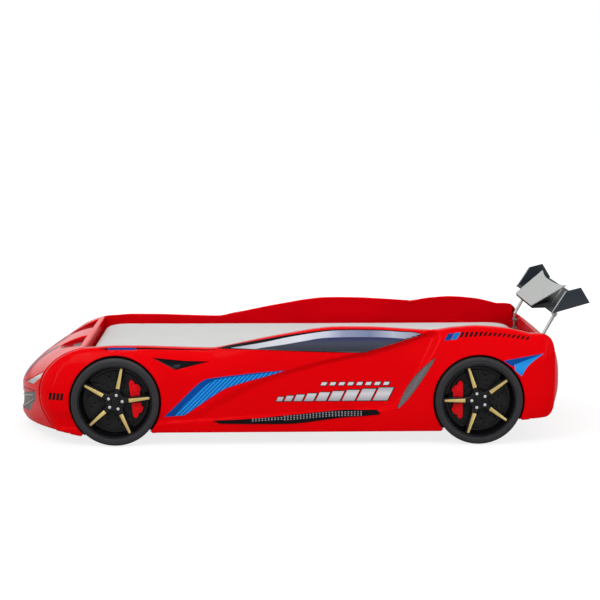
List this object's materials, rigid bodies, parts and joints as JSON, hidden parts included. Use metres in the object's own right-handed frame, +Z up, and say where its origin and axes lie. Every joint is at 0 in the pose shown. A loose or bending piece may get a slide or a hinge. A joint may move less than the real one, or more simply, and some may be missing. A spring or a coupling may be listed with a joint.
{
  "type": "kids bed",
  "caption": "Child's bed shaped as a low racing car, with sculpted red panels round a slatted frame, spoked wheels that turn, a rear wing and a lift-out mattress.",
  "frame": {"origin": "on the floor under the middle of the bed's overall box", "axes": "+Z up, +X towards the tail, -Y towards the bed's left side, seen first"},
  "size_m": [2.427, 1.09, 0.6469],
  "materials": {
    "body_red": "deep gloss moulded plastic",
    "board_red": "red lacquered board",
    "lens_silver": "silvered moulded lamp housing",
    "mesh_black": "matt black slotted plastic",
    "trim_black": "gloss black plastic",
    "silver_plastic": "silver lacquered plastic",
    "frame_wood": "planed softwood",
    "steel": "satin zinc plated steel",
    "foot_black": "matt black plastic",
    "wing_black": "gloss black plastic",
    "plate_dark": "dark blue grey gloss plastic",
    "tyre_black": "satin black moulded ring",
    "rim_black": "gloss black plastic",
    "inlay_gold": "satin gold plastic",
    "disc_dark": "dark grey drilled disc",
    "caliper_red": "gloss red plastic",
    "nut_silver": "bright plated",
    "mattress_cloth": "plain light woven cover"
  },
  "bodies": {
    "root": {"left_side_panel": "body_red", "right_side_panel": "body_red", "hood": "body_red", "front_bumper": "body_red", "tail_panel": "body_red", "left_inner_board": "board_red", "right_inner_board": "board_red", "front_board": "board_red", "rear_board": "board_red", "headlights": "lens_silver", "grille_mesh": "mesh_black", "scoop_meshes": "mesh_black", "side_vents": "mesh_black", "fender_vents": "trim_black", "sill_strips": "trim_black", "grille_blades": "silver_plastic", "wing_centre_panel": "silver_plastic", "end_plate_trims": "silver_plastic", "ledger_rails": "frame_wood", "centre_beam": "frame_wood", "slats": "frame_wood", "legs": "frame_wood", "panel_blocks": "frame_wood", "corner_brackets": "steel", "bracket_screws": "steel", "axle_bolts": "steel", "wing_posts": "steel", "wing_brackets": "steel", "post_saddles": "steel", "saddle_screws": "steel", "feet": "foot_black", "wing_plank": "wing_black", "left_end_plate": "plate_dark", "right_end_plate": "plate_dark"},
    "mattress_body": {"mattress": "mattress_cloth"},
    "front_left_wheel": {"front_left_tyre": "tyre_black", "front_left_rim": "rim_black", "front_left_inlays": "inlay_gold", "front_left_brake": "disc_dark", "front_left_caliper": "caliper_red", "front_left_nuts": "nut_silver"},
    "front_right_wheel": {"front_right_tyre": "tyre_black", "front_right_rim": "rim_black", "front_right_inlays": "inlay_gold", "front_right_brake": "disc_dark", "front_right_caliper": "caliper_red", "front_right_nuts": "nut_silver"},
    "rear_left_wheel": {"rear_left_tyre": "tyre_black", "rear_left_rim": "rim_black", "rear_left_inlays": "inlay_gold", "rear_left_brake": "disc_dark", "rear_left_caliper": "caliper_red", "rear_left_nuts": "nut_silver"},
    "rear_right_wheel": {"rear_right_tyre": "tyre_black", "rear_right_rim": "rim_black", "rear_right_inlays": "inlay_gold", "rear_right_brake": "disc_dark", "rear_right_caliper": "caliper_red", "rear_right_nuts": "nut_silver"}
  },
  "joints": [
    {"name": "mattress_lift", "type": "slide", "parent": "root", "child": "mattress_body", "axis": [0, 0, 1], "range_m": [0, 0.13]},
    {"name": "front_left_spin", "type": "hinge", "parent": "root", "child": "front_left_wheel", "pos_m": [-0.758, -0.512, 0.185], "axis": [0, 1, 0], "continuous": true},
    {"name": "front_right_spin", "type": "hinge", "parent": "root", "child": "front_right_wheel", "pos_m": [-0.758, 0.512, 0.185], "axis": [0, 1, 0], "continuous": true},
    {"name": "rear_left_spin", "type": "hinge", "parent": "root", "child": "rear_left_wheel", "pos_m": [0.747, -0.512, 0.185], "axis": [0, 1, 0], "continuous": true},
    {"name": "rear_right_spin", "type": "hinge", "parent": "root", "child": "rear_right_wheel", "pos_m": [0.747, 0.512, 0.185], "axis": [0, 1, 0], "continuous": true}
  ]
}
